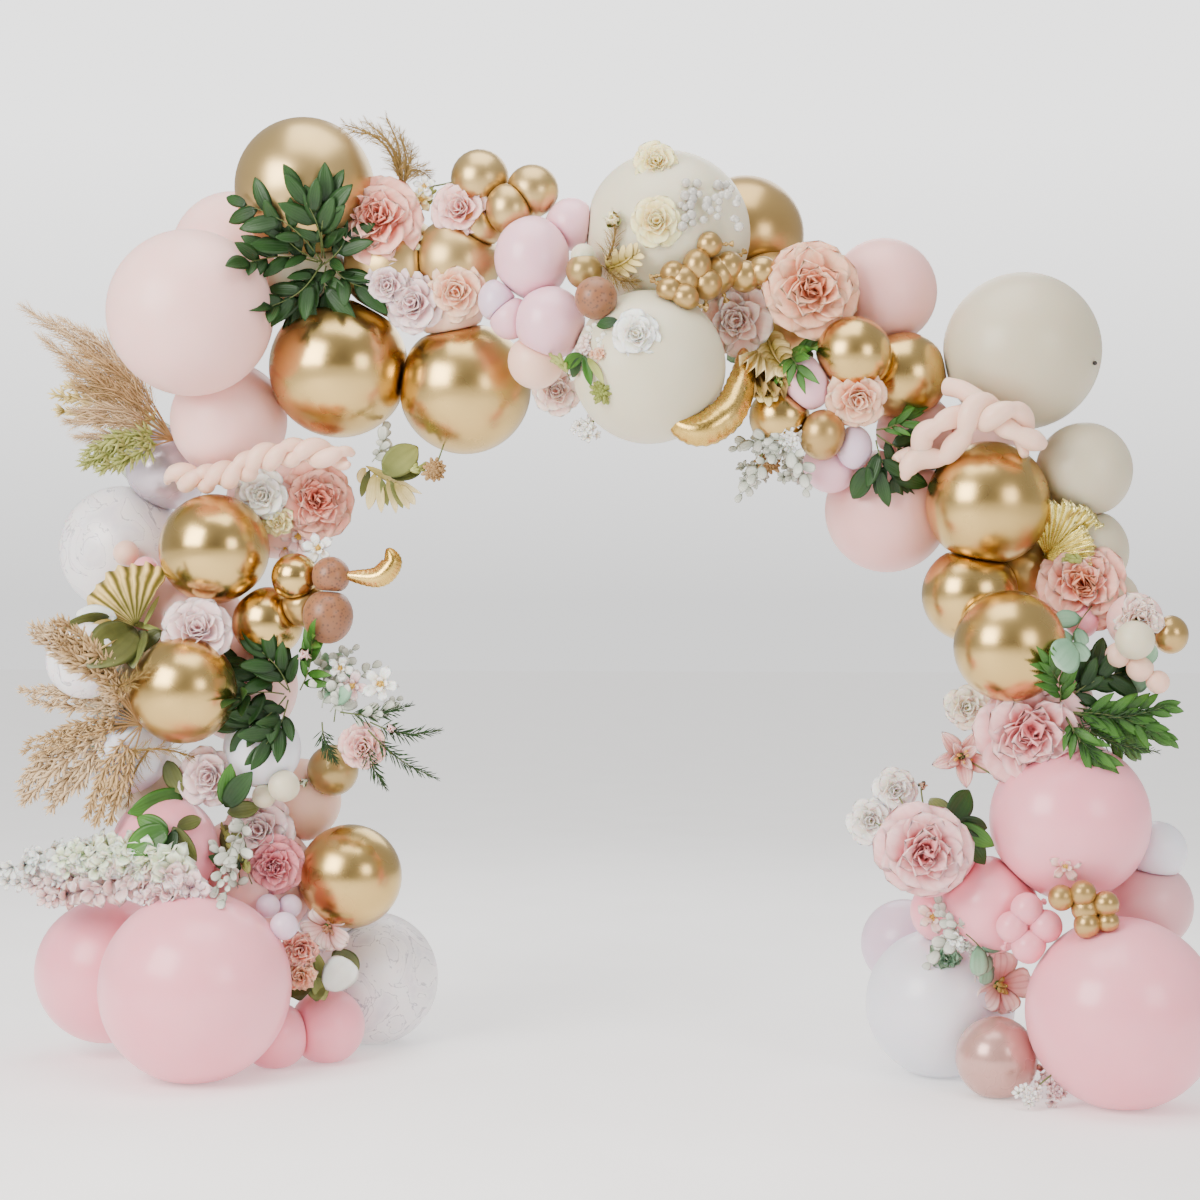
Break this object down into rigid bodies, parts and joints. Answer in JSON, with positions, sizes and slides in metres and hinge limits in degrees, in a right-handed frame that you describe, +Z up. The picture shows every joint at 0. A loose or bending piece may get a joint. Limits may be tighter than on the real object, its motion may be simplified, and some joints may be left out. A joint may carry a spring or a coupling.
{
  "type": "balloon arch",
  "caption": "Free-standing garland arch of latex and chrome balloons in gold, pink and cream, trimmed with foam roses, peonies, leaves, dried grasses and twisted balloon braids.",
  "frame": {"origin": "middle of the arch's outline on the floor, under its bottom balloons", "axes": "+X along the arch from its left leg to its right leg as seen from the front, -Y out of the front, +Z up"},
  "size_m": [2.8794, 0.952, 2.2977],
  "materials": {
    "pink": "satin latex",
    "white": "satin latex, faintly marbled",
    "dusty_rose": "pearl latex",
    "peach": "satin latex",
    "gold": "chrome gold latex",
    "blush": "satin latex",
    "lilac": "pearl latex",
    "cream": "satin latex",
    "matte_gold": "matte gold latex",
    "sand": "satin latex",
    "rose_foam": "foam petals",
    "leaf": "artificial leaf",
    "cream_foam": "foam petals",
    "straw": "dried grass"
  },
  "bodies": {
    "root": {"pink_foot_balloon_left": "pink", "white_foot_balloon_left": "white", "white_foot_balloon_right": "white", "pink_foot_balloon_right": "pink", "dusty_rose_foot_balloon": "dusty_rose", "small_pink_foot_balloons": "pink", "pink_balloon_lower_left": "pink", "pink_rear_balloon_left": "pink", "white_and_peach_balloons": "peach", "gold_balloon_lower_left": "gold", "pale_balloons_left": "white", "gold_balloon_left_3": "gold", "marbled_balloon_upper_left": "white", "gold_balloon_left_2": "gold", "gold_and_terracotta_balls": "gold", "blush_balloons_left": "blush", "pearl_balloon_pair": "lilac", "gold_balloon_top": "gold", "gold_balloon_left_1": "gold", "blush_balloon_left_1": "blush", "blush_balloon_left_2": "blush", "gold_balloon_top_left": "gold", "gold_balloons_top_left": "gold", "pink_balloons_top": "blush", "cream_balloon_top": "cream", "cream_balloon_middle": "cream", "matte_gold_balloons_top": "matte_gold", "gold_ball_cluster_top": "gold", "blush_balloon_right_1": "blush", "right_shoulder_balloons": "gold", "sand_balloon_right": "sand", "blush_balloons_right": "blush", "gold_balloon_right_1": "gold", "sand_balloons_right": "sand", "gold_balloon_pair_right": "gold", "gold_balloon_right_2": "gold", "blush_balloon_right_3": "blush", "pink_balloon_right": "pink", "pink_and_lilac_balloons": "pink", "lilac_balloon_right": "lilac", "dusty_pink_balloons_right": "pink", "pink_four_ball_flower": "pink", "gold_ball_cluster_right": "gold", "peach_braid_left": "peach", "peach_braid_right": "peach", "flowers_top_left": "rose_foam", "flowers_upper_left": "rose_foam", "rose_and_monstera_left": "rose_foam", "flowers_lower_left": "rose_foam", "leaf_bunch_left": "leaf", "flowers_top": "cream_foam", "flowers_top_right": "rose_foam", "flowers_right_shoulder": "rose_foam", "flowers_right_upper": "rose_foam", "flowers_right_middle": "rose_foam", "flowers_right_lower": "rose_foam", "lilac_flowers_at_the_floor": "lilac", "pampas_upper_left": "straw", "dried_grass_lower_left": "straw", "white_flower_spray": "straw"}
  },
  "joints": []
}
